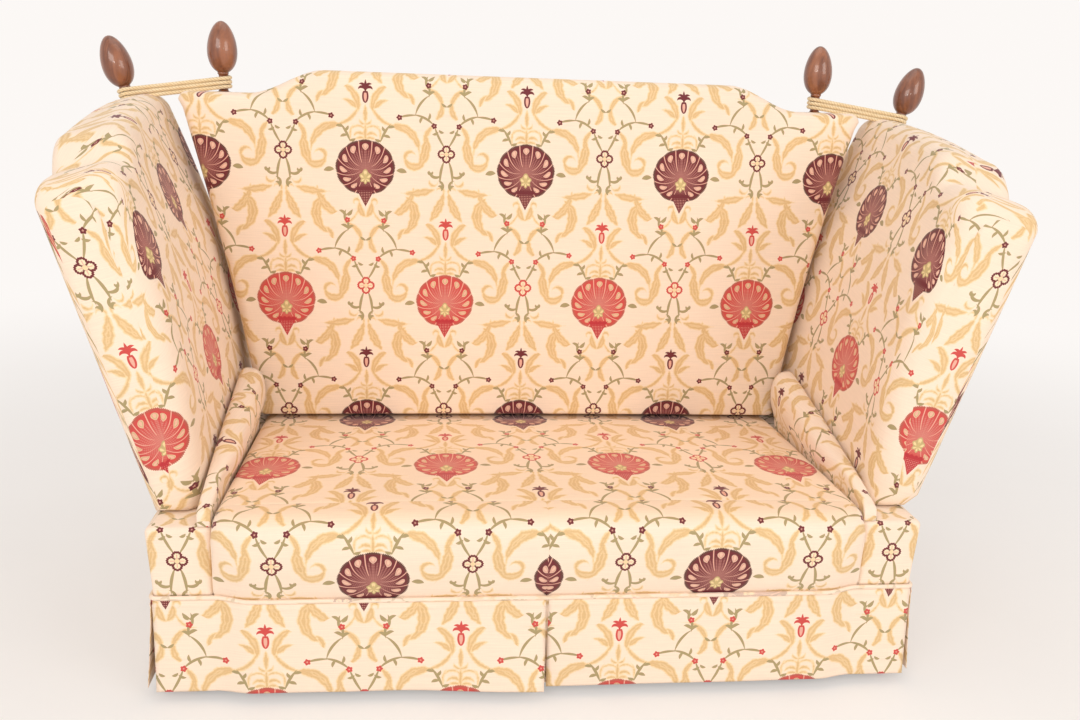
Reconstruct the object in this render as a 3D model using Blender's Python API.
"""Knole sofa: a fixed sprung seat and upright back, with two deep arms that drop outward on hinges.

Rope windings tie each arm's turned finial to the finial on the back's shoulder.
Metres, +Z up, +X to the sitter's left, +Y to the back. The floor centre is the origin.
"""

import math

import bmesh
import bpy
import numpy as np
from mathutils import Matrix, Vector

# Gaps: between pieces that touch, round a turning pin, and of soft pieces that move past each other
GAP = 0.0003
PIN_PLAY = 0.0003
SOFT_PLAY = 0.0045
OVERRUN = 0.02

# Base: the low plinth of rails, the two boxes that carry the arms, and the depth of the body
BASE_WIDTH = 1.380
BODY_DEPTH = 0.690
BOX_WIDTH = 0.103
BOX_TOP = 0.326
BOX_SPLAY = 0.009
WELT_HEIGHT = 0.1965
BOX_EDGE_RADIUS = 0.012
COVER = 0.012
FOOT_HEIGHT = 0.090
FOOT_TOP_SIDE = 0.052
FOOT_BOTTOM_SIDE = 0.038
RAIL_THICKNESS = 0.032
BEARER_HEIGHT = 0.035
BOX_POST_WIDTH = 0.050
BLOCK_LEG = 0.070
BLOCK_HEIGHT = 0.060
DUST_COVER_THICKNESS = 0.0015

# Seat: its top at the back and the front, how far it stops short of the posts, how it is rounded
SEAT_REAR_HEIGHT = 0.346
SEAT_FRONT_HEIGHT = 0.353
SEAT_CROWN = 0.016
SEAT_LIP = 0.047
SEAT_LIP_RADIUS = 0.042
SEAT_POST_CLEARANCE = 0.012
SEAT_FRONT_SWELL = 0.020
SEAT_SWELL_RUN = 0.070
SEAT_APRON = 0.090
SEAT_SIDE_RADIUS = 0.016
SPRING_SPACE = 0.036
SPRING_PLAY = 0.002
SEAT_EDGE_WALL = 0.004
SPRING_WIRE = 0.0036
SPRING_COUNT = 9
SPRING_BENDS = 9
SPRING_ARCH = 0.012
SPRING_WAVE = 0.036

# Side rolls: the wedge pads between the seat and the arms
ROLL_OVERHANG = 0.014
ROLL_REAR_TOP = 0.432
ROLL_FRONT_TOP = 0.342
ROLL_ROUND = 0.013
ROLL_LIFT = 0.003

# Back: straight splayed sides, a raised middle, ogee shoulders, and the thickness at its base.
# Its corners stand a little outside the base and over the arms' rear ends.
BACK_SIDE_SPLAY = math.radians(14.6)
BACK_CREST_RISE = 0.052
BACK_SHOULDER_RISE = 0.0205
BACK_CORNER_OVERHANG = 0.026
BACK_SHOULDER_WIDTH = 0.126
BACK_RISE_RUN = 0.150
BACK_CORNER_RADIUS = 0.020
BACK_THICKNESS = 0.145
BACK_LEAN = math.radians(2.6)
BACK_CROWN = 0.020
BACK_EDGE_RADIUS = 0.030
BACK_RIM = 0.017
BACK_BASE = 0.3555
PANEL_THICKNESS = 0.004
BACK_RAIL_HEIGHT = 0.060
BACK_POST_WIDTH = 0.046

# Arms: measured from the hinge line, up the splayed outer face, and along the depth
ARM_SPLAY = math.radians(15.5)
ARM_FRONT_FOOT = 0.062
ARM_FRONT_LEAN = 0.034
ARM_REAR = 0.700
ARM_FOOT_THICKNESS = 0.078
ARM_TOP_THICKNESS_FRONT = 0.140
ARM_TOP_THICKNESS_REAR = 0.097
ARM_BULGE = 0.022
ARM_OUTER_ROUND = 0.024
ARM_INNER_ROUND = 0.042
ARM_FRONT_ROUND = 0.045
ARM_FRONT_EDGE = 0.012
ARM_REAR_ROUND = 0.018
ARM_RIM = 0.017
ARM_LOBE_HEIGHT = 0.600
ARM_STEP_RISE = 0.062
ARM_SWEEP_RISE = 0.060
ARM_VALLEY_DEPTH = 0.170
ARM_STEP_DEPTH = 0.258
ARM_CORNER_RADIUS = 0.032
ARM_CLEARANCE = 0.004
ARM_PAD_OUTSIDE = 0.014
ARM_FRAME_THICKNESS = 0.034
ARM_RAIL_HEIGHT = 0.055
ARM_STILE_WIDTH = 0.050
ARM_TOP_RAIL_HEIGHT = 0.050

# Hinge along the foot of each arm
HINGE_INSET = 0.004
KNUCKLE_RADIUS = 0.0035
PIN_RADIUS = 0.0019
LEAF_THICKNESS = 0.0015
LEAF_WIDTH = 0.028
KNUCKLES = 9
KNUCKLE_GAP = 0.0008
HINGE_END_INSET = 0.030

# Turned egg finials and the rope round their necks
EGG_RADIUS = 0.031
EGG_HEIGHT = 0.108
NECK_RADIUS = 0.0095
NECK_HEIGHT = 0.034
DISC_RADIUS = 0.024
DISC_HEIGHT = 0.008
DOWEL_RADIUS = 0.006
DOWEL_LENGTH = 0.040
BACK_FINIAL_INSET = 0.060
FINIAL_DEPTH = 0.648
ARM_FINIAL_SINK = 0.020
BACK_FINIAL_SINK = 0.004
DIMPLE_PLAY = 0.001
DIMPLE_REACH = 0.026
ROPE_RADIUS = 0.0042
ROPE_TURNS = 3
ROPE_LOOP_POINTS = 24
ROPE_LAY_GAP = 0.0006
ROPE_PLAY = 0.001

# Skirt, its pleat backings and the welt over it
WELT_RADIUS = 0.004
SKIRT_THICKNESS = 0.003
SKIRT_HEM = 0.020
SKIRT_FLARE = 0.010
SKIRT_FRONT_KICK = 0.027
SKIRT_SIDE_KICK = 0.014
SKIRT_SPLIT_GAP = 0.005
SKIRT_FOLD = 0.003
PLEAT_THICKNESS = 0.0015
PLEAT_WIDTH = 0.150
PLEAT_LIFT = 0.004

# Derived places that several pieces share
HALF_BASE = BASE_WIDTH / 2
BOX_INNER = HALF_BASE - BOX_WIDTH
RAIL_BOTTOM = FOOT_HEIGHT + GAP
RAIL_TOP = WELT_HEIGHT
SIDE_OUTER = HALF_BASE - COVER
SIDE_INNER = SIDE_OUTER - RAIL_THICKNESS
FRONT_RAIL_FRONT = COVER
BACK_RAIL_BACK = BODY_DEPTH - COVER
BACK_RAIL_FRONT = BACK_RAIL_BACK - RAIL_THICKNESS
BACK_FACE_DEPTH = BODY_DEPTH - BACK_THICKNESS
SEAT_REAR_DEPTH = BACK_RAIL_FRONT - SEAT_POST_CLEARANCE
ARM_STEP_HEIGHT = ARM_LOBE_HEIGHT + ARM_STEP_RISE
ARM_HEIGHT = ARM_STEP_HEIGHT + ARM_SWEEP_RISE
HINGE_X = HALF_BASE + BOX_SPLAY - HINGE_INSET
HINGE_Z = BOX_TOP + GAP + KNUCKLE_RADIUS
BACK_SHOULDER = HINGE_Z + ARM_HEIGHT * math.cos(ARM_SPLAY) + BACK_SHOULDER_RISE
BACK_TOP = BACK_SHOULDER + BACK_CREST_RISE
BACK_CORNER_HALF_WIDTH = HALF_BASE + BACK_CORNER_OVERHANG
BACK_RISE_START = BACK_CORNER_HALF_WIDTH - BACK_SHOULDER_WIDTH
BACK_RISE_END = BACK_RISE_START - BACK_RISE_RUN
BACK_FINIAL_HALF_SPREAD = BACK_CORNER_HALF_WIDTH - BACK_FINIAL_INSET
SEAT_BASE = RAIL_TOP + GAP
FRAME_DEPTH = ARM_PAD_OUTSIDE + GAP
SKIRT_TOP = WELT_HEIGHT - WELT_RADIUS - GAP
SKIRT_OUT = PLEAT_THICKNESS + 2 * GAP + SKIRT_THICKNESS / 2

CLOTH = (0.83, 0.72, 0.53, 1.0)
PIPING = (0.80, 0.66, 0.44, 1.0)
POLISHED_WOOD = (0.24, 0.095, 0.045, 1.0)
RAW_WOOD = (0.62, 0.45, 0.27, 1.0)
STEEL = (0.55, 0.55, 0.56, 1.0)
ROPE_CREAM = (0.84, 0.74, 0.50, 1.0)
BLACK_CLOTH = (0.05, 0.05, 0.05, 1.0)

for old in list(bpy.data.objects):
    bpy.data.objects.remove(old, do_unlink=True)


# Helpers


def material(name, colour, roughness, metallic=0.0):
    made = bpy.data.materials.new(name)
    made.use_nodes = True
    shader = made.node_tree.nodes["Principled BSDF"]
    shader.inputs["Base Color"].default_value = colour
    shader.inputs["Roughness"].default_value = roughness
    shader.inputs["Metallic"].default_value = metallic
    return made


def finish_object(name, data, look, parent, smooth=True):
    """Puts mesh data into the scene under its parent, with its own material."""
    obj = bpy.data.objects.new(name, data)
    bpy.context.scene.collection.objects.link(obj)
    colour, roughness, metallic = look
    data.materials.append(material(name, colour, roughness, metallic))
    obj.parent = parent
    if smooth and hasattr(data, "shade_smooth"):
        data.shade_smooth()
        data.set_sharp_from_angle(angle=math.radians(40))
    return obj


def mesh_object(name, verts, faces, look, parent, smooth=True):
    """A closed mesh with its faces turned outward."""
    data = bpy.data.meshes.new(name)
    data.from_pydata([tuple(v) for v in verts], [], faces)
    shape = bmesh.new()
    shape.from_mesh(data)
    bmesh.ops.recalc_face_normals(shape, faces=shape.faces)
    shape.to_mesh(data)
    shape.free()
    return finish_object(name, data, look, parent, smooth)


def loft(rings, closed=False):
    """Vertices and faces that join equal rings, with end caps unless the rings close on themselves."""
    size = len(rings[0])
    verts = [point for ring in rings for point in ring]
    count = len(rings)
    faces = []
    for r in range(count if closed else count - 1):
        a, b = r * size, ((r + 1) % count) * size
        for i in range(size):
            j = (i + 1) % size
            faces.append((a + i, a + j, b + j, b + i))
    if not closed:
        faces.append(tuple(range(size)))
        faces.append(tuple(reversed(range((count - 1) * size, count * size))))
    return verts, faces


def box(name, low, high, look, parent):
    (x0, y0, z0), (x1, y1, z1) = low, high
    ring = [(x0, y0), (x1, y0), (x1, y1), (x0, y1)]
    verts, faces = loft([[(x, y, z) for x, y in ring] for z in (z0, z1)])
    return mesh_object(name, verts, faces, look, parent, smooth=False)


def slab(name, outline, start, end, place, look, parent, smooth=False):
    """An outline of (a, b) pairs pushed from start to end; place(a, b, c) gives each point."""
    verts, faces = loft([[place(a, b, c) for a, b in outline] for c in (start, end)])
    return mesh_object(name, verts, faces, look, parent, smooth)


def turned(name, profile, sides, look, parent):
    """A profile of (radius, height) pairs, turned round Z, with both ends closed on the axis."""
    rings = []
    for radius, height in profile:
        rings.append(
            [
                (radius * math.cos(t), radius * math.sin(t), height)
                for t in (2 * math.pi * k / sides for k in range(sides))
            ]
        )
    verts, faces = loft(rings)
    return mesh_object(name, verts, faces, look, parent)


def helper(obj):
    """Keeps a cutter or joined shape out of the model itself."""
    obj.hide_render = True
    obj.display_type = "WIRE"
    return obj


def boolean(obj, other, operation="DIFFERENCE"):
    step = obj.modifiers.new(other.name, "BOOLEAN")
    step.operation = operation
    step.object = helper(other)
    return obj


def empty(name, parent=None, location=(0, 0, 0), turn=None):
    made = bpy.data.objects.new(name, None)
    bpy.context.scene.collection.objects.link(made)
    made.parent = parent
    made.location = location
    if turn is not None:
        made.rotation_euler = turn
    return made


def arc(centre, radius, start, end, steps):
    """Points of a round stretch, angles in degrees."""
    points = []
    for k in range(steps + 1):
        t = math.radians(start + (end - start) * k / steps)
        points.append((centre[0] + radius * math.cos(t), centre[1] + radius * math.sin(t)))
    return points


def ease(t):
    """A smooth rise from 0 to 1."""
    t = min(max(t, 0.0), 1.0)
    return t * t * (3 - 2 * t)


def round_off(distance, radius):
    """How far a rounded edge draws in at this distance from its end."""
    if distance >= radius:
        return 0.0
    return radius - math.sqrt(radius**2 - (radius - distance) ** 2)


SOFT = (CLOTH, 0.9, 0.0)
FRAME_WOOD = (RAW_WOOD, 0.8, 0.0)
TURNED_WOOD = (POLISHED_WOOD, 0.25, 0.0)
METAL = (STEEL, 0.4, 1.0)

root = empty("sofa")


# Seat frame: two rails, two side frames, corner blocks, feet and springs


def back_edge(z):
    """Half width of the back at this height."""
    return BACK_CORNER_HALF_WIDTH - (BACK_SHOULDER - z) * math.tan(BACK_SIDE_SPLAY)


def make_rail(name, front):
    half = SIDE_INNER - GAP
    box(name, (-half, front, RAIL_BOTTOM), (half, front + RAIL_THICKNESS, RAIL_TOP), FRAME_WOOD, root)


def make_side_frame(name, side):
    """Rail, two short posts and the bearer that the arm's hinge is fixed to."""
    front, rear = FRONT_RAIL_FRONT, BACK_RAIL_BACK
    top = BOX_TOP - COVER
    outer = [(front, RAIL_BOTTOM), (rear, RAIL_BOTTOM), (rear, top), (front, top)]
    a, b = front + BOX_POST_WIDTH, rear - BOX_POST_WIDTH
    inner = [(a, RAIL_TOP), (b, RAIL_TOP), (b, top - BEARER_HEIGHT), (a, top - BEARER_HEIGHT)]
    rings = []
    for outline, x in ((outer, SIDE_OUTER), (outer, SIDE_INNER), (inner, SIDE_INNER), (inner, SIDE_OUTER)):
        rings.append([(side * x, y, z) for y, z in outline])
    verts, faces = loft(rings, closed=True)
    mesh_object(name, verts, faces, FRAME_WOOD, root, smooth=False)


def make_corner_block(name, side, rail_face, inward):
    """A three-sided block glued in the corner of two rails."""
    corner = SIDE_INNER - 2 * GAP
    face = rail_face + inward * GAP
    outline = [(corner, face), (corner - BLOCK_LEG, face), (corner, face + inward * BLOCK_LEG)]
    middle = (RAIL_BOTTOM + RAIL_TOP) / 2
    slab(
        name,
        outline,
        middle - BLOCK_HEIGHT / 2,
        middle + BLOCK_HEIGHT / 2,
        lambda x, y, z: (side * x, y, z),
        FRAME_WOOD,
        root,
    )


def make_foot(name, side, middle_y):
    """A square block foot that tapers to the floor."""
    middle_x = side * (SIDE_OUTER - FOOT_TOP_SIDE / 2)
    rings = []
    for size, z in ((FOOT_BOTTOM_SIDE, 0), (FOOT_TOP_SIDE, FOOT_HEIGHT)):
        h = size / 2
        corners = ((-h, -h), (h, -h), (h, h), (-h, h))
        rings.append([(middle_x + a, middle_y + b, z) for a, b in corners])
    verts, faces = loft(rings)
    mesh_object(name, verts, faces, TURNED_WOOD, root, smooth=False)


def make_spring_mat():
    """Zigzag springs from front to back, held by a wire along each rail: one joined mat."""
    front = FRONT_RAIL_FRONT + RAIL_THICKNESS / 2
    rear = BACK_RAIL_FRONT + RAIL_THICKNESS / 2
    height = RAIL_TOP + GAP + SPRING_WIRE
    front_half = BOX_INNER - SEAT_EDGE_WALL - SPRING_PLAY - SPRING_WAVE
    rear_half = back_edge(height) - BACK_RIM - GAP - BACK_POST_WIDTH - SPRING_WAVE - SPRING_WIRE
    mat = None
    for y, half in ((front, front_half), (rear, rear_half)):
        bar = slab(
            "spring_bar",
            arc((0, 0), SPRING_WIRE, 0, 360 - 60, 5),
            -half - SPRING_WAVE,
            half + SPRING_WAVE,
            lambda a, b, c, y=y: (c, y + a, height + b),
            METAL,
            root,
        )
        if mat is None:
            mat = bar
            mat.name = "seat_spring_mat"
        else:
            boolean(mat, bar, "UNION")
    length = rear - front
    for k in range(SPRING_COUNT):
        spread = 2 * k / (SPRING_COUNT - 1) - 1
        path = []
        for bend in range(SPRING_BENDS + 1):
            share = bend / SPRING_BENDS
            middle = spread * (front_half + (rear_half - front_half) * share)
            sway = 0 if bend in (0, SPRING_BENDS) else SPRING_WAVE / 2 * (1 if bend % 2 else -1)
            lift = SPRING_ARCH * math.sin(math.pi * share)
            path.append(Vector((middle + sway, front + length * share, height + lift)))
        spring = wire_tube("spring_%d" % k, path, SPRING_WIRE * 0.8, 5)
        boolean(mat, spring, "UNION")


def wire_tube(name, path, radius, sides):
    """A bent wire of few sides, its rings square to the mean of the two runs at each bend."""
    rings = []
    for i, point in enumerate(path):
        before = path[max(i - 1, 0)]
        after = path[min(i + 1, len(path) - 1)]
        along = (after - before).normalized()
        side = along.cross(Vector((0, 0, 1))).normalized()
        up = side.cross(along)
        rings.append(
            [
                point + radius * (math.cos(t) * side + math.sin(t) * up)
                for t in (2 * math.pi * k / sides for k in range(sides))
            ]
        )
    verts, faces = loft(rings)
    return mesh_object(name, verts, faces, METAL, root)


make_rail("front_rail", FRONT_RAIL_FRONT)
make_rail("back_rail", BACK_RAIL_FRONT)
for side_name, side in (("left", -1), ("right", 1)):
    make_side_frame("side_frame_" + side_name, side)
    make_corner_block("corner_block_front_" + side_name, side, FRONT_RAIL_FRONT + RAIL_THICKNESS, 1)
    make_corner_block("corner_block_back_" + side_name, side, BACK_RAIL_FRONT, -1)
    make_foot("foot_front_" + side_name, side, FRONT_RAIL_FRONT + FOOT_TOP_SIDE / 2)
    make_foot("foot_back_" + side_name, side, BACK_RAIL_BACK - FOOT_TOP_SIDE / 2)
make_spring_mat()

foot_clear = FOOT_TOP_SIDE + GAP
dust_half = SIDE_OUTER - foot_clear
box(
    "dust_cover",
    (-dust_half, FRONT_RAIL_FRONT, RAIL_BOTTOM - GAP - DUST_COVER_THICKNESS),
    (dust_half, BACK_RAIL_BACK, RAIL_BOTTOM - GAP),
    (BLACK_CLOTH, 0.95, 0.0),
    root,
)


# Seat cushion: crowned top, rolled front lip, border that draws in to the welt


def seat_height(y):
    """The seat's top at this depth, without its crown."""
    share = min(max(y / SEAT_REAR_DEPTH, 0.0), 1.0)
    return SEAT_FRONT_HEIGHT + (SEAT_REAR_HEIGHT - SEAT_FRONT_HEIGHT) * share


def front_line(x):
    """How far the body's front swells forward of the boxes at this place."""
    return SEAT_FRONT_SWELL * ease((BOX_INNER - abs(x)) / SEAT_SWELL_RUN)


def seat_stations():
    """Where the seat's sections stand from side to side: close together at its rounded ends."""
    half = BOX_INNER - GAP
    end_shares = (0.0, 0.006, 0.02, 0.045, 0.075, 0.12, 0.2, 0.3, 0.4)
    places = [-half + 2 * half * share for share in end_shares]
    return places + [0.0] + [-x for x in reversed(places)]


def make_seat_cushion():
    half = BOX_INNER - GAP
    lip = SEAT_LIP
    radius = SEAT_LIP_RADIUS
    top_front = seat_height(0)
    low = RAIL_TOP - SEAT_APRON
    over_welt = WELT_HEIGHT + WELT_RADIUS + GAP
    rise = top_front - over_welt
    swell = SEAT_FRONT_SWELL
    # Side view: down the apron over the front rail, under it, up the border, over the lip, to the rear
    border = [(FRONT_RAIL_FRONT - GAP, SEAT_BASE), (FRONT_RAIL_FRONT - GAP, low), (-swell * 0.85, low)]
    border += [(-swell, over_welt - WELT_RADIUS * 3), (-swell, over_welt)]
    bulge_shares = ((0.12, 0.45), (0.42, 0.9))
    border += [(-swell - (lip - swell) * out, over_welt + rise * up) for up, out in bulge_shares]
    border += arc((-lip + radius, top_front - radius), radius, 180, 90, 5)
    start = -lip + radius
    top_depth_shares = (0.12, 0.28, 0.46, 0.64, 0.80, 0.92)
    for share in top_depth_shares:
        y = start + (SEAT_REAR_DEPTH - start) * share
        border.append((y, seat_height(y)))
    border += [(SEAT_REAR_DEPTH, seat_height(SEAT_REAR_DEPTH)), (SEAT_REAR_DEPTH, SEAT_BASE)]
    rings = []
    for x in seat_stations():
        share = (x + half) / (2 * half)
        inset = round_off(min(share, 1 - share) * 2 * half, SEAT_SIDE_RADIUS)
        fullness = math.sin(math.pi * share) ** 0.5
        held_back = SEAT_FRONT_SWELL - front_line(x)
        ring = []
        for y, z in border:
            height = (z - over_welt) / rise
            depth = (y + lip) / (BACK_FACE_DEPTH + lip)
            crown = SEAT_CROWN * fullness * math.sin(math.pi * min(max(depth, 0), 1)) ** 0.7
            drawn = (held_back + inset * 0.8 * ease(height * 2)) if y < 0 else 0
            ring.append((x, y + drawn, z + (crown - inset) * ease((height - 0.5) * 2)))
        rings.append(ring)
    verts, faces = loft(rings)
    seat = mesh_object("seat_cushion", verts, faces, SOFT, root)
    hollow = box(
        "seat_spring_hollow",
        (SEAT_EDGE_WALL - BOX_INNER, FRONT_RAIL_FRONT, SEAT_BASE - OVERRUN),
        (BOX_INNER - SEAT_EDGE_WALL, SEAT_REAR_DEPTH + OVERRUN, SEAT_BASE + SPRING_SPACE),
        SOFT,
        root,
    )
    boolean(seat, hollow)


make_seat_cushion()


# Boxes that carry the arms, and the wedge rolls beside the seat


def make_base_box(name, side):
    """A padded cover round the side frame, open below."""
    r = BOX_EDGE_RADIUS
    front, rear = 0.0, BODY_DEPTH - GAP
    top = BOX_TOP
    rings = []
    for turn in (0, 30, 60, 90):
        t = math.radians(turn)
        inset, z = r * (1 - math.cos(t)), top - r + r * math.sin(t)
        rings.append((inset, z))
    rings = [(0.0, SEAT_BASE)] + rings
    built = []
    for inset, z in rings:
        splay = BOX_SPLAY * (z - SEAT_BASE) / (top - SEAT_BASE)
        x0, x1 = BOX_INNER, HALF_BASE + splay - inset
        y0, y1 = front + inset, rear - inset
        corner = r * 0.6
        ring = [(x0, y0), (x1 - corner, y0), (x1 - corner * 0.3, y0 + corner * 0.3), (x1, y0 + corner)]
        ring += [(x1, y1 - corner), (x1 - corner * 0.3, y1 - corner * 0.3), (x1 - corner, y1), (x0, y1)]
        built.append([(side * x, y, z) for x, y in ring])
    verts, faces = loft(built)
    cover = mesh_object(name, verts, faces, SOFT, root)
    ends = sorted((side * (SIDE_INNER - GAP), side * (SIDE_OUTER + GAP)))
    hollow = box(
        name + "_hollow",
        (ends[0], FRONT_RAIL_FRONT - GAP, SEAT_BASE - OVERRUN),
        (ends[1], BACK_RAIL_BACK + GAP, BOX_TOP - COVER + GAP),
        SOFT,
        root,
    )
    boolean(cover, hollow)


def arm_inner_line(height_above_hinge):
    """Half width of the arm's inner face, low down, at rest."""
    thick = ARM_FOOT_THICKNESS + ARM_BULGE * math.sin(math.pi * height_above_hinge / ARM_HEIGHT)
    return HINGE_X + height_above_hinge * math.tan(ARM_SPLAY) - thick / math.cos(ARM_SPLAY)


def make_side_roll(name, side):
    """A wedge pad: high at the back, level with the box at the front, following the arm's inner face."""
    base = BOX_TOP + GAP
    rear = BACK_FACE_DEPTH - BACK_CROWN - 2 * GAP
    depth_shares = (0.0, 0.015, 0.05, 0.12, 0.3, 0.5, 0.7, 0.88, 1.0)
    # Shares of the pad's height, of its inward swell and of its width, round the section
    section_shares = (
        (0.0, 0.0, 0.0),
        (0.35, 0.0, 0.0),
        (0.45, 0.7, 0.0),
        (0.62, 1.0, 0.0),
        (0.80, 0.9, 0.0),
        (0.94, 0.5, 0.04),
        (1.0, 0.0, 0.30),
        (1.0, 0.0, 0.62),
        (0.93, 0.0, 0.90),
        (0.75, 0.0, 1.0),
        (0.4, 0.0, 1.0),
        (0.0, 0.0, 1.0),
    )
    rings = []
    for share in depth_shares:
        y = ROLL_LIFT + (rear - ROLL_LIFT) * share
        top = ROLL_FRONT_TOP + (ROLL_REAR_TOP - ROLL_FRONT_TOP) * share**0.9
        top = max(top - round_off(share * rear, ROLL_ROUND), base + ROLL_LIFT)
        height = top - base
        swell = ROLL_OVERHANG * ease((base + height * 0.45 - seat_height(y)) / ROLL_OVERHANG)
        inner = BOX_INNER + GAP
        ring = []
        for up, out, across in section_shares:
            z = base + height * up
            outer = arm_inner_line(z - HINGE_Z) - SOFT_PLAY
            ring.append((side * (inner - swell * out + (outer - inner) * across), y, z))
        rings.append(ring)
    verts, faces = loft(rings)
    mesh_object(name, verts, faces, SOFT, root)


for side_name, side in (("left", -1), ("right", 1)):
    make_base_box("base_box_" + side_name, side)
    make_side_roll("side_roll_" + side_name, side)


# Back: posts and rails, padded front with a pocket for them, outside panel


def back_outline(rim, low=BACK_BASE, steps=8):
    """Right half of the back from the bottom middle to the top middle, drawn in by rim at sides and top."""
    points = [(0.0, low), (back_edge(low) * 0.5 - rim, low), (back_edge(low) - rim, low)]
    for share in (0.33, 0.66):
        z = low + (BACK_SHOULDER - low) * share
        points.append((back_edge(z) - rim, z))
    radius = BACK_CORNER_RADIUS
    corner = (BACK_CORNER_HALF_WIDTH - rim - radius, BACK_SHOULDER - rim - radius)
    points += arc(corner, radius, 0, 90, 3)
    for k in range(steps + 1):
        share = k / steps
        x = BACK_RISE_START + (BACK_RISE_END - BACK_RISE_START) * share
        z = BACK_SHOULDER + (BACK_TOP - BACK_SHOULDER) * ease(share)
        points.append((x, z - rim))
    points.append((BACK_RISE_END * 0.5, BACK_TOP - rim))
    points.append((0.0, BACK_TOP - rim))
    return points


def whole_back_outline(rim, low=BACK_BASE):
    half = back_outline(rim, low)
    return half + [(-x, z) for x, z in reversed(half[1:-1])]


def back_plane(x, z, y):
    return (x, y, z)


def make_back_cushion():
    outline = whole_back_outline(0.0)
    centre_z = (BACK_BASE + BACK_TOP) / 2
    rear = BODY_DEPTH - GAP
    # Each ring: how far it draws in, as a share of the half size, and how far forward it stands
    rings = []

    def ring(inset, forward):
        points = []
        for x, z in outline:
            lean = (z - BACK_BASE) * math.tan(BACK_LEAN)
            reach = math.hypot(x, z - centre_z)
            tight = 0.35 if z <= BACK_BASE else 1.0
            keep = 1 - inset * tight / reach
            y = rear if forward is None else BACK_FACE_DEPTH + lean + forward
            points.append((x * keep, y, centre_z + (z - centre_z) * keep))
        return points

    rings.append(ring(0.0, None))
    r = BACK_EDGE_RADIUS
    for turn in (0, 30, 60, 90):
        t = math.radians(turn)
        rings.append(ring(r * (1 - math.cos(t)), r * (1 - math.sin(t))))
    face = rings[-1]
    crown_shares = ((0.86, 0.42), (0.66, 0.78), (0.40, 0.96), (0.15, 1.0))
    for keep, crown in crown_shares:
        points = []
        for x, y, z in face:
            level = centre_z + (z - centre_z) * keep
            lean = (level - BACK_BASE) * math.tan(BACK_LEAN)
            points.append((x * keep, BACK_FACE_DEPTH + lean - BACK_CROWN * crown, level))
        rings.append(points)
    verts, faces = loft(rings)
    cushion = mesh_object("back_cushion", verts, faces, SOFT, root)
    pocket = slab(
        "back_pocket",
        whole_back_outline(BACK_RIM, BACK_BASE - OVERRUN),
        BACK_RAIL_FRONT - GAP,
        BODY_DEPTH + OVERRUN,
        back_plane,
        SOFT,
        root,
    )
    boolean(cushion, pocket)
    return cushion


frame_rear = BACK_RAIL_BACK
post_rim = BACK_RIM + GAP
back_rail_top = BACK_BASE + 2 * BACK_RAIL_HEIGHT


def post_outer(z):
    """Outer line of a back post: inside the pocket, at the splay of the back's side."""
    return back_edge(z) - post_rim


def make_back_post(name, side):
    foot, top = RAIL_TOP + GAP, BACK_SHOULDER - post_rim
    cut = top - BACK_CORNER_RADIUS
    outline = [
        (post_outer(foot) - BACK_POST_WIDTH, foot),
        (post_outer(foot), foot),
        (post_outer(cut), cut),
        (post_outer(top) - BACK_CORNER_RADIUS, top),
        (post_outer(top) - BACK_POST_WIDTH, top),
    ]
    return slab(
        name,
        [(side * x, z) for x, z in outline],
        BACK_RAIL_FRONT,
        frame_rear,
        back_plane,
        FRAME_WOOD,
        root,
    )


def make_back_lower_rail():
    low, high = BACK_BASE + BACK_RIM + BACK_RAIL_HEIGHT, back_rail_top + BACK_RIM
    inner = BACK_POST_WIDTH + GAP
    outline = [
        (-(post_outer(low) - inner), low),
        (post_outer(low) - inner, low),
        (post_outer(high) - inner, high),
        (-(post_outer(high) - inner), high),
    ]
    slab("back_lower_rail", outline, BACK_RAIL_FRONT, frame_rear, back_plane, FRAME_WOOD, root)


def make_back_top_rail():
    """Sawn to the raised middle of the back, standing between the posts."""
    top = BACK_SHOULDER - post_rim
    low = top - BACK_RAIL_HEIGHT
    inner = BACK_POST_WIDTH + GAP
    half = [(post_outer(low) - inner, low), (post_outer(top) - inner, top)]
    for share in (0.0, 0.25, 0.5, 0.75, 1.0):
        x = BACK_RISE_START - inner / 2 + (BACK_RISE_END - BACK_RISE_START) * share
        z = top + (BACK_TOP - BACK_SHOULDER) * ease(share)
        half.append((x, z))
    outline = half + [(-x, z) for x, z in reversed(half)]
    slab("back_top_rail", outline, BACK_RAIL_FRONT, frame_rear, back_plane, FRAME_WOOD, root)


def make_outside_back():
    """Taut cloth on its board, from the welt up into the pocket's rim."""
    rim = BACK_RIM + GAP
    half = [(x, z) for x, z in back_outline(rim) if z > BACK_BASE + 2 * rim]
    low, turn = SEAT_BASE, BACK_BASE - GAP
    # Below the back it is as wide as the space between the boxes
    foot = [(0.0, low), (BOX_INNER - GAP, low), (BOX_INNER - GAP, turn), (back_edge(turn) - rim, turn)]
    half = foot + half
    outline = half + [(-x, z) for x, z in reversed(half[1:-1])]
    start = BACK_RAIL_BACK + GAP
    slab("outside_back", outline, start, start + PANEL_THICKNESS, back_plane, SOFT, root)


back_cushion = make_back_cushion()
back_posts = {}
for side_name, side in (("left", -1), ("right", 1)):
    back_posts[side] = make_back_post("back_post_" + side_name, side)
make_back_lower_rail()
make_back_top_rail()
make_outside_back()


# Arms: built in a frame on the hinge line, w inward through the arm, h up it and y to the back


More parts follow.
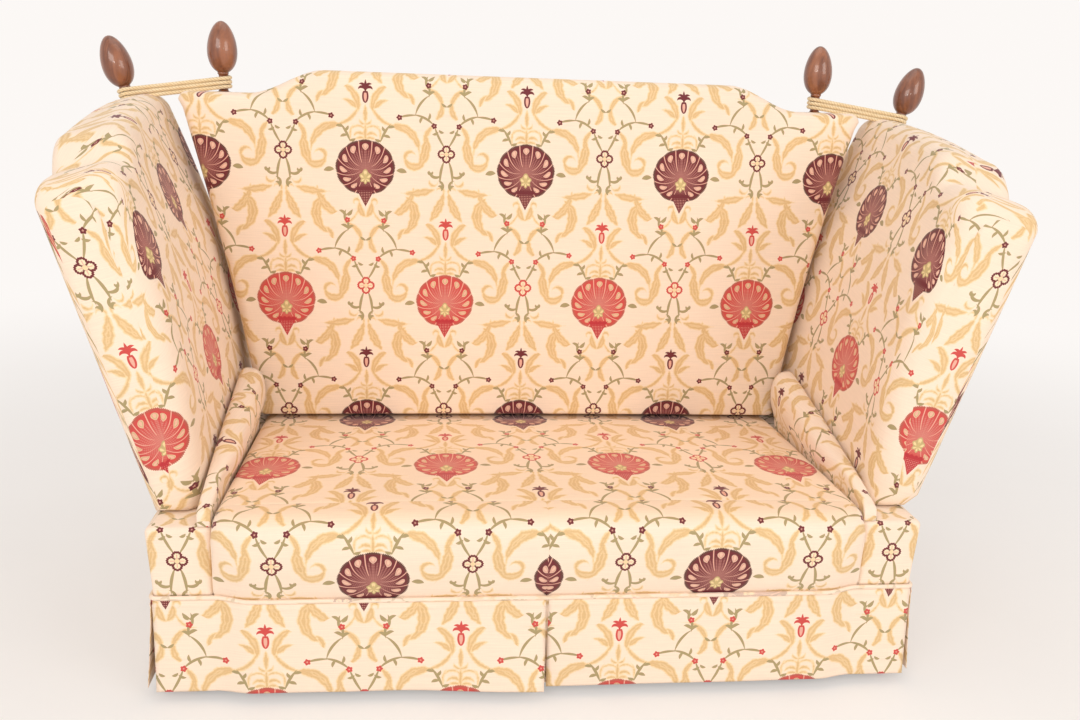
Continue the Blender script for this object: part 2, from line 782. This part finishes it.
def arm_top(y):
    """Height of the serpentine top at this depth: a front lobe, a step, and the long rear sweep."""
    front = ARM_FRONT_FOOT - ARM_FRONT_LEAN
    if y <= ARM_VALLEY_DEPTH:
        share = (y - front) / (ARM_VALLEY_DEPTH - front)
        return ARM_LOBE_HEIGHT - ARM_CORNER_RADIUS * 0.7 * (1 - math.sin(math.pi / 2 * share))
    if y <= ARM_STEP_DEPTH:
        share = (y - ARM_VALLEY_DEPTH) / (ARM_STEP_DEPTH - ARM_VALLEY_DEPTH)
        return ARM_LOBE_HEIGHT + (ARM_STEP_HEIGHT - ARM_LOBE_HEIGHT) * math.sin(math.pi / 2 * share)
    share = (y - ARM_STEP_DEPTH) / (ARM_REAR - ARM_STEP_DEPTH)
    return ARM_STEP_HEIGHT + (ARM_HEIGHT - ARM_STEP_HEIGHT) * math.sin(math.pi / 2 * share)


def arm_floor(w):
    """The arm's foot lies level over the box at rest, so it slopes in the arm's own frame."""
    return (BOX_TOP + ARM_CLEARANCE - HINGE_Z) / math.cos(ARM_SPLAY) - w * math.tan(ARM_SPLAY)


def arm_section(y, inset_outer, inset_inner, inset_top):
    """One section across the arm, from the foot of the outer face over the top to the inner foot."""
    top = arm_top(y) - inset_top
    share_back = min(max((y - ARM_FRONT_FOOT) / (ARM_REAR - ARM_FRONT_FOOT), 0), 1)
    thinning = ARM_TOP_THICKNESS_FRONT - ARM_TOP_THICKNESS_REAR
    top_thick = ARM_TOP_THICKNESS_FRONT - thinning * ease(share_back)

    def inner(h):
        share = min(max(h / top, 0), 1)
        straight = ARM_FOOT_THICKNESS + (top_thick - ARM_FOOT_THICKNESS) * share
        return straight + ARM_BULGE * math.sin(math.pi * share) - inset_inner

    outer = inset_outer
    foot_lift = inset_outer * 0.5
    points = [(outer, arm_floor(outer) + foot_lift)]
    for share in (0.3, 0.6):
        points.append((outer, top * share))
    r = ARM_OUTER_ROUND
    points += arc((outer + r, top - r), r, 180, 90, 4)
    q = ARM_INNER_ROUND
    crest = inner(top - q)
    points += arc((crest - q, top - q), q, 90, 0, 6)
    for share in (0.78, 0.6, 0.42, 0.25, 0.1):
        points.append((inner(top * share), top * share))
    low = inner(0)
    points.append((low, arm_floor(low) + ARM_FRONT_EDGE * 0.6 + foot_lift))
    toe = low - ARM_FRONT_EDGE * 0.5
    points.append((toe, arm_floor(toe) + foot_lift))
    return points


def arm_point(side, w, y, h):
    """The front edge leans forward as it rises; the rear stays upright."""
    share = (ARM_REAR - y) / (ARM_REAR - ARM_FRONT_FOOT)
    return (-side * w, y - ARM_FRONT_LEAN * share * h / ARM_LOBE_HEIGHT, h)


def arm_edge_outline(rim):
    """Outline of the outer face in (y, h), drawn in by rim, open straight down at the foot."""
    front = ARM_FRONT_FOOT + rim
    rear = ARM_REAR - rim
    low = arm_floor(0) - OVERRUN
    points = [(front, low)]
    steps = 14
    for k in range(steps + 1):
        y = front + (rear - front) * k / steps
        points.append((y, arm_top(y) - rim - ARM_OUTER_ROUND * 0.25))
    points.append((rear, low))
    return points


def make_arm_cushion(name, side, pivot):
    front = ARM_FRONT_FOOT
    rear = ARM_REAR
    rings = []
    stations = [0.0, 0.004, 0.014, 0.028, ARM_FRONT_ROUND]
    for distance in stations:
        y = front + distance
        edge = round_off(distance, ARM_FRONT_EDGE)
        broad = round_off(distance, ARM_FRONT_ROUND)
        rings.append((y, arm_section(y, edge, broad, broad * 0.6)))
    middle_shares = (0.02, 0.08, 0.12, 0.15, 0.18, 0.22, 0.27, 0.34, 0.44, 0.56, 0.68, 0.8, 0.9)
    start = front + ARM_FRONT_ROUND
    end = rear - ARM_REAR_ROUND
    for share in middle_shares:
        y = start + (end - start) * share
        rings.append((y, arm_section(y, 0, 0, 0)))
    for share in (1.0, 0.5, 0.15, 0.0):
        distance = ARM_REAR_ROUND * share
        pull = round_off(distance, ARM_REAR_ROUND)
        y = rear - distance
        rings.append((y, arm_section(y, pull * 0.5, pull, pull)))
    built = [[arm_point(side, w, y, h) for w, h in section] for y, section in rings]
    verts, faces = loft(built)
    cushion = mesh_object(name, verts, faces, SOFT, pivot)
    pocket = slab(
        name + "_pocket",
        arm_edge_outline(ARM_RIM),
        -OVERRUN,
        FRAME_DEPTH + ARM_FRAME_THICKNESS + GAP,
        lambda y, h, w: arm_point(side, w, y, h),
        SOFT,
        pivot,
    )
    boolean(cushion, pocket)
    return cushion


def leaf_seat(w):
    """The foot rail's underside is cut level at rest, to lie on the hinge leaf."""
    return (KNUCKLE_RADIUS + GAP) / math.cos(ARM_SPLAY) - w * math.tan(ARM_SPLAY)


def arm_board(name, outline, side, pivot, start=None, end=None, look=FRAME_WOOD):
    first = FRAME_DEPTH if start is None else start
    last = FRAME_DEPTH + ARM_FRAME_THICKNESS if end is None else end
    return slab(name, outline, first, last, lambda y, h, w: arm_point(side, w, y, h), look, pivot)


def make_arm_frame(side_name, side, pivot):
    """Foot rail, two stiles and a top rail sawn to the serpentine line."""
    rim = ARM_RIM + GAP
    front, rear = ARM_FRONT_FOOT + rim, ARM_REAR - rim
    rail_top = ARM_RAIL_HEIGHT
    a, b = FRAME_DEPTH, FRAME_DEPTH + ARM_FRAME_THICKNESS
    slab(
        "arm_foot_rail_" + side_name,
        [(a, leaf_seat(a)), (b, leaf_seat(b)), (b, rail_top), (a, rail_top)],
        front,
        rear,
        lambda w, h, y: arm_point(side, w, y, h),
        FRAME_WOOD,
        pivot,
    )
    crest = ARM_OUTER_ROUND * 0.25 + rim
    rail_front = arm_top(front) - crest - ARM_TOP_RAIL_HEIGHT
    rail_rear = arm_top(rear) - crest - ARM_TOP_RAIL_HEIGHT

    def under(y):
        return rail_front + (rail_rear - rail_front) * (y - front) / (rear - front)

    steps = 14
    upper = []
    for k in range(steps + 1):
        y = front + (rear - front) * k / steps
        upper.append((y, arm_top(y) - crest))
    lower = [(rear, under(rear)), (front, under(front))]
    top_rail = arm_board("arm_top_rail_" + side_name, upper + lower, side, pivot)
    for word, a, b in (("front", front, front + ARM_STILE_WIDTH), ("rear", rear - ARM_STILE_WIDTH, rear)):
        outline = [(a, rail_top + GAP), (b, rail_top + GAP), (b, under(b) - GAP), (a, under(a) - GAP)]
        arm_board("arm_%s_stile_%s" % (word, side_name), outline, side, pivot)
    return top_rail


def make_outside_arm(name, side, pivot):
    rim = ARM_RIM + GAP
    outline = arm_edge_outline(rim)
    foot = KNUCKLE_RADIUS + GAP
    outline = [(y, max(h, foot)) for y, h in outline]
    arm_board(name, outline, side, pivot, GAP, ARM_PAD_OUTSIDE, SOFT)


# Hinge: two leaves with interleaved knuckles on one long pin


def make_leaf(name, side, parent, level, turn, first):
    """A leaf with every second knuckle. level is the plate's place over the pin, turn its tilt."""
    front = ARM_FRONT_FOOT + HINGE_END_INSET
    rear = ARM_REAR - HINGE_END_INSET
    pitch = (rear - front) / KNUCKLES
    own = [k for k in range(KNUCKLES) if k % 2 == first]
    comb = []
    notch = KNUCKLE_RADIUS + GAP * 2
    for k in range(KNUCKLES):
        a = front + pitch * k + (0 if k == 0 else KNUCKLE_GAP / 2)
        b = front + pitch * (k + 1) - (0 if k == KNUCKLES - 1 else KNUCKLE_GAP / 2)
        if k in own:
            comb += [(a, 0.0), (b, 0.0)]
        else:
            a0 = front + pitch * k - (KNUCKLE_GAP / 2 if k else 0)
            b0 = front + pitch * (k + 1) + (KNUCKLE_GAP / 2 if k < KNUCKLES - 1 else 0)
            comb += [(a0, notch), (b0, notch)]
    outline = comb + [(rear, LEAF_WIDTH), (front, LEAF_WIDTH)]
    cos, sin = math.cos(turn), math.sin(turn)

    def place(y, w, c):
        # w runs inward from the pin, c is the height over it; the arm's leaf tilts with the arm
        return (-side * (w * cos + c * sin), y, c * cos - w * sin)

    plate = slab(name, outline, level, level + LEAF_THICKNESS, place, METAL, parent)
    for k in own:
        a = front + pitch * k + (0 if k == 0 else KNUCKLE_GAP / 2)
        b = front + pitch * (k + 1) - (0 if k == KNUCKLES - 1 else KNUCKLE_GAP / 2)
        circle = arc((0, 0), KNUCKLE_RADIUS, 15, 345, 11)
        knuckle = slab(
            "%s_knuckle_%d" % (name, k), circle, a, b, lambda w, c, y: place(y, w, c), METAL, parent
        )
        boolean(plate, knuckle, "UNION")
    bore_circle = arc((0, 0), PIN_RADIUS + PIN_PLAY, 15, 345, 11)
    bore = slab(
        name + "_bore",
        bore_circle,
        front - OVERRUN,
        rear + OVERRUN,
        lambda w, c, y: place(y, w, c),
        METAL,
        parent,
    )
    boolean(plate, bore)
    return plate


def make_pin(name, parent):
    front = ARM_FRONT_FOOT + HINGE_END_INSET
    rear = ARM_REAR - HINGE_END_INSET
    circle = arc((0, 0), PIN_RADIUS, 15, 345, 11)
    slab(name, circle, front, rear, lambda a, b, y: (a, y, b), METAL, parent, smooth=True)


# Finials and rope


def finial_profile():
    """Dowel, round foot disc, waisted neck and egg, from the bottom up."""
    egg_base = DISC_HEIGHT + NECK_HEIGHT
    points = [(DOWEL_RADIUS, -DOWEL_LENGTH), (DOWEL_RADIUS, 0.0)]
    disc_shares = ((0.92, 0.0), (1.0, 0.35), (0.8, 0.85))
    points += [(DISC_RADIUS * out, DISC_HEIGHT * up) for out, up in disc_shares]
    points += [(NECK_RADIUS * 1.15, DISC_HEIGHT), (NECK_RADIUS, DISC_HEIGHT + NECK_HEIGHT * 0.1)]
    points += [(NECK_RADIUS, DISC_HEIGHT + NECK_HEIGHT * 0.94)]
    steps = 9
    for k in range(1, steps):
        t = math.pi * k / steps
        height = egg_base + EGG_HEIGHT * (1 - math.cos(t)) / 2
        fullness = math.sin(t) * (1 + 0.16 * math.cos(t))
        points.append((max(EGG_RADIUS * fullness, NECK_RADIUS), height))
    points.append((EGG_RADIUS * 0.06, egg_base + EGG_HEIGHT))
    return points


def make_finial(name, parent, location, turn=0.0):
    finial = turned(name, finial_profile(), 20, TURNED_WOOD, parent)
    finial.location = location
    finial.rotation_euler = (0, turn, 0)
    return finial


def bore_for(obj, finial, parent, sink=None):
    """The hole that a finial's dowel stands in, with the dimple its disc presses in soft padding."""
    circle = arc((0, 0), DOWEL_RADIUS + GAP, 0, 360 - 30, 11)
    reach = DOWEL_LENGTH + GAP
    hole = slab(
        obj.name + "_bore", circle, -reach, OVERRUN, lambda a, b, c: (a, b, c), FRAME_WOOD, parent
    )
    cutters = [hole]
    if sink is not None:
        low = DISC_RADIUS + DIMPLE_PLAY
        high = low + DIMPLE_REACH
        sides = 20
        rings = []
        for share in (0.0, 2.0):
            radius = low + (high - low) * share
            ring = arc((0, 0), radius, 0, 360 - 360 / sides, sides - 1)
            rings.append([(x, y, sink * share - GAP) for x, y in ring])
        verts, faces = loft(rings)
        cutters.append(mesh_object(obj.name + "_dimple", verts, faces, SOFT, parent))
    for cutter in cutters:
        cutter.location = finial.location
        cutter.rotation_euler = finial.rotation_euler
        boolean(obj, cutter)


def make_rope(name, parent, side, back_neck, arm_neck, arm_up):
    """One unbroken winding round both necks, each turn above the last, three runs in front, two behind."""
    pitch = 2 * ROPE_RADIUS + ROPE_LAY_GAP
    radius = NECK_RADIUS + ROPE_RADIUS + GAP * 2
    across = (arm_neck - back_neck).normalized()
    back_up = Vector((0, 0, 1))
    points = []
    total = ROPE_TURNS * ROPE_LOOP_POINTS
    for k in range(1, total):
        turn = k / ROPE_LOOP_POINTS
        angle = 2 * math.pi * turn + math.pi / 2
        near_arm = math.cos(angle) < -1e-9
        middle = (ROPE_TURNS - 0.5) / 2 if near_arm else (ROPE_TURNS + 0.5) / 2
        rise = (turn - middle) * pitch
        up = arm_up if near_arm else back_up
        centre = arm_neck if near_arm else back_neck
        outward = (across - up * across.dot(up)).normalized()
        sideways = side * up.cross(outward)
        offset = radius * (-math.cos(angle) * outward + math.sin(angle) * sideways)
        points.append(centre + offset + up * rise)
    first, last = points[0] - points[1], points[-1] - points[-2]
    points.insert(0, points[0] + first.normalized() * 2 * ROPE_RADIUS)
    points.append(points[-1] + last.normalized() * 2 * ROPE_RADIUS)
    print("least gap of", name, "to itself: %.2f mm" % (1000 * least_gap(points, ROPE_RADIUS)))
    curve = bpy.data.curves.new(name, "CURVE")
    curve.dimensions = "3D"
    curve.bevel_depth = ROPE_RADIUS
    curve.bevel_resolution = 1
    curve.use_fill_caps = True
    spline = curve.splines.new("POLY")
    spline.points.add(len(points) - 1)
    for slot, point in zip(spline.points, points):
        slot.co = (*point, 1)
    return finish_object(name, curve, (ROPE_CREAM, 0.85, 0.0), parent)


def least_gap(points, radius):
    """Least distance between stretches of the winding that aren't neighbours, less its thickness."""
    ends = np.array([tuple(p) for p in points])
    fine = np.concatenate([ends[:-1] + (ends[1:] - ends[:-1]) * share for share in (0.0, 0.25, 0.5, 0.75)])
    order = np.concatenate([np.arange(len(ends) - 1) + share for share in (0.0, 0.25, 0.5, 0.75)])
    apart = np.linalg.norm(fine[:, None] - fine[None], axis=2)
    far = np.abs(order[:, None] - order[None]) > ROPE_LOOP_POINTS / 2
    return float(apart[far].min() - 2 * radius)


def press_groove(cushion, side, pivot, finial, to_back):
    """The shallow groove that the rope presses in the padding on its way to the back's finial."""
    half_winding = (ROPE_TURNS - 0.5) / 2 * (2 * ROPE_RADIUS + ROPE_LAY_GAP) + ROPE_RADIUS
    start = -side * finial.location.x
    under = finial.location.z + DISC_HEIGHT + NECK_HEIGHT / 2 - half_winding - ROPE_PLAY
    end = start + ARM_TOP_THICKNESS_FRONT
    slope = to_back.z / abs(to_back.x)
    rise = slope * (end - start)
    roof = under + 2 * OVERRUN
    outline = [(start, under), (end, under + rise), (end, roof), (start, roof)]
    half_width = NECK_RADIUS + 2 * ROPE_RADIUS + 2 * ROPE_PLAY
    sway = to_back.y / abs(to_back.x)
    groove = slab(
        cushion.name + "_groove",
        outline,
        finial.location.y - half_width,
        finial.location.y + half_width,
        lambda w, h, y: (-side * w, y + sway * (w - start), h),
        SOFT,
        pivot,
    )
    boolean(cushion, groove)


arm_finial_y = FINIAL_DEPTH
back_finial_y = (BACK_RAIL_FRONT + frame_rear) / 2
for side_name, side in (("left", -1), ("right", 1)):
    pivot = empty(
        "arm_hinge_" + side_name,
        root,
        (side * HINGE_X, 0, HINGE_Z),
        (0, side * ARM_SPLAY, 0),
    )
    arm_cushion = make_arm_cushion("arm_cushion_" + side_name, side, pivot)
    arm_top_rail = make_arm_frame(side_name, side, pivot)
    make_outside_arm("outside_arm_" + side_name, side, pivot)

    base_axis = empty("arm_hinge_line_" + side_name, root, (side * HINGE_X, 0, HINGE_Z))
    low_level = -KNUCKLE_RADIUS
    high_level = KNUCKLE_RADIUS - LEAF_THICKNESS
    make_leaf("hinge_box_leaf_" + side_name, side, base_axis, low_level, 0.0, 0)
    make_leaf("hinge_arm_leaf_" + side_name, side, pivot, high_level, ARM_SPLAY, 1)
    make_pin("hinge_pin_" + side_name, base_axis)

    # The finials stand on the padding, their dowels in the frame below it
    rail_middle = FRAME_DEPTH + ARM_FRAME_THICKNESS / 2
    arm_finial = make_finial(
        "arm_finial_" + side_name,
        pivot,
        (-side * rail_middle, arm_finial_y, arm_top(arm_finial_y) - ARM_FINIAL_SINK),
    )
    bore_for(arm_cushion, arm_finial, pivot, ARM_FINIAL_SINK)
    bore_for(arm_top_rail, arm_finial, pivot)
    back_finial = make_finial(
        "back_finial_" + side_name,
        root,
        (side * BACK_FINIAL_HALF_SPREAD, back_finial_y, BACK_SHOULDER - BACK_FINIAL_SINK),
    )
    bore_for(back_cushion, back_finial, root, BACK_FINIAL_SINK)
    bore_for(back_posts[side], back_finial, root)

    neck_up = DISC_HEIGHT + NECK_HEIGHT / 2
    tilt = Matrix.Rotation(side * ARM_SPLAY, 3, "Y")
    arm_up = tilt @ Vector((0, 0, 1))
    hinge = Vector((side * HINGE_X, 0, HINGE_Z))
    arm_neck = hinge + tilt @ (Vector(arm_finial.location) + Vector((0, 0, neck_up)))
    back_neck = Vector(back_finial.location) + Vector((0, 0, neck_up))
    make_rope("rope_" + side_name, root, side, back_neck, arm_neck, arm_up)
    press_groove(arm_cushion, side, pivot, arm_finial, tilt.inverted() @ (back_neck - arm_neck))


# Welt, skirt panels and the backings behind their splits


def make_welt():
    """Piping all round the plinth, just over the skirt."""
    out = WELT_RADIUS + GAP
    half = HALF_BASE + out
    front, rear = -out, BODY_DEPTH + out
    corner = BOX_EDGE_RADIUS
    path = []
    for centre, start in (
        ((half - corner, rear - corner), 0),
        ((-half + corner, rear - corner), 90),
        ((-half + corner, front + corner), 180),
    ):
        path += arc(centre, corner, start, start + 90, 4)
    # Along the front it keeps to the swell of the seat
    path += [(x, front - front_line(x)) for x in seat_stations()]
    path += arc((half - corner, front + corner), corner, 270, 360, 4)
    sides = 8
    rings = []
    count = len(path)
    for i, (x, y) in enumerate(path):
        before, after = path[i - 1], path[(i + 1) % count]
        along = Vector((after[0] - before[0], after[1] - before[1], 0)).normalized()
        outward = along.cross(Vector((0, 0, 1)))
        rings.append(
            [
                Vector((x, y, WELT_HEIGHT))
                + WELT_RADIUS * (math.cos(t) * outward + math.sin(t) * Vector((0, 0, 1)))
                for t in (2 * math.pi * k / sides for k in range(sides))
            ]
        )
    verts, faces = loft(rings, closed=True)
    mesh_object("welt", verts, faces, (PIPING, 0.9, 0.0), root)


def hanging_panel(name, start, end, outward, kick_start, kick_end, swell=None):
    """A lined cloth panel that hangs from its top edge, flares, and kicks out at its ends."""
    along = Vector(end) - Vector(start)
    width = along.length
    outward = Vector(outward)
    columns, rows = 24, 5
    reach = 2 * PLEAT_WIDTH / width
    grids = ([], [])
    for c in range(columns + 1):
        share = c / columns
        at = Vector(start) + along * share
        top_out = SKIRT_OUT + (front_line(at.x) if swell else 0)
        kick = kick_start * ease(1 - share / reach) + kick_end * ease(1 - (1 - share) / reach)
        fold = SKIRT_FOLD * math.sin(2 * math.pi * (width / PLEAT_WIDTH / 2 * share + 0.1))
        for r in range(rows + 1):
            drop = r / rows
            out = top_out + (SKIRT_FLARE + kick + fold) * drop**1.3
            middle = at + outward * out + Vector((0, 0, SKIRT_TOP + (SKIRT_HEM - SKIRT_TOP) * drop))
            grids[0].append(middle + outward * SKIRT_THICKNESS / 2)
            grids[1].append(middle - outward * SKIRT_THICKNESS / 2)
    verts = grids[0] + grids[1]
    count = len(grids[0])
    step = rows + 1
    faces = []
    for c in range(columns):
        for r in range(rows):
            a = c * step + r
            quad = (a, a + 1, a + step + 1, a + step)
            faces.append(quad)
            faces.append(tuple(count + i for i in reversed(quad)))
    for c in range(columns):
        for r in (0, rows):
            a, b = c * step + r, (c + 1) * step + r
            faces.append((a, b, count + b, count + a))
    for r in range(rows):
        for c in (0, columns):
            a, b = c * step + r, c * step + r + 1
            faces.append((a, b, count + b, count + a))
    mesh_object(name, verts, faces, SOFT, root)


def make_pleat_backing(name, outline):
    """A plain strip of cloth behind a split in the skirt, sewn under the welt."""
    slab(name, outline, SKIRT_HEM + PLEAT_LIFT, SKIRT_TOP, lambda x, y, z: (x, y, z), SOFT, root)


make_welt()
split = SKIRT_SPLIT_GAP / 2
hanging_panel("skirt_front_left", (-HALF_BASE, 0, 0), (-split, 0, 0), (0, -1, 0), 0, SKIRT_FRONT_KICK, True)
hanging_panel("skirt_front_right", (split, 0, 0), (HALF_BASE, 0, 0), (0, -1, 0), 0, 0, True)
hanging_panel("skirt_back", (-HALF_BASE, BODY_DEPTH, 0), (HALF_BASE, BODY_DEPTH, 0), (0, 1, 0), 0, 0)
near, far = GAP, GAP + PLEAT_THICKNESS
for side_name, side in (("left", -1), ("right", 1)):
    x = side * HALF_BASE
    hanging_panel(
        "skirt_side_" + side_name,
        (x, 0, 0),
        (x, BODY_DEPTH, 0),
        (side, 0, 0),
        SKIRT_SIDE_KICK,
        SKIRT_SIDE_KICK / 2,
    )
    # An L round the corner of the box, open to the inside
    reach = PLEAT_WIDTH / 2
    a, b = HALF_BASE + far, HALF_BASE + near
    corner = [(a, -far), (a, reach), (b, reach), (b, -near)]
    corner += [(HALF_BASE - reach, -near), (HALF_BASE - reach, -far)]
    make_pleat_backing("pleat_front_" + side_name, [(side * u, v) for u, v in corner])
reach = PLEAT_WIDTH / 2
face = -SEAT_FRONT_SWELL
strip = [(-reach, face - far), (reach, face - far), (reach, face - near), (-reach, face - near)]
make_pleat_backing("pleat_centre", strip)


# The origin goes to the middle of the floor that the finished model covers


def depth_reach():
    """Front and rear of every shown piece."""
    bpy.context.view_layer.update()
    ends = []
    for obj in bpy.data.objects:
        if obj.type == "MESH" and not obj.hide_render:
            depths = [(obj.matrix_world @ v.co).y for v in obj.data.vertices]
            ends += [min(depths), max(depths)]
    return min(ends), max(ends)


root.location.y = -sum(depth_reach()) / 2
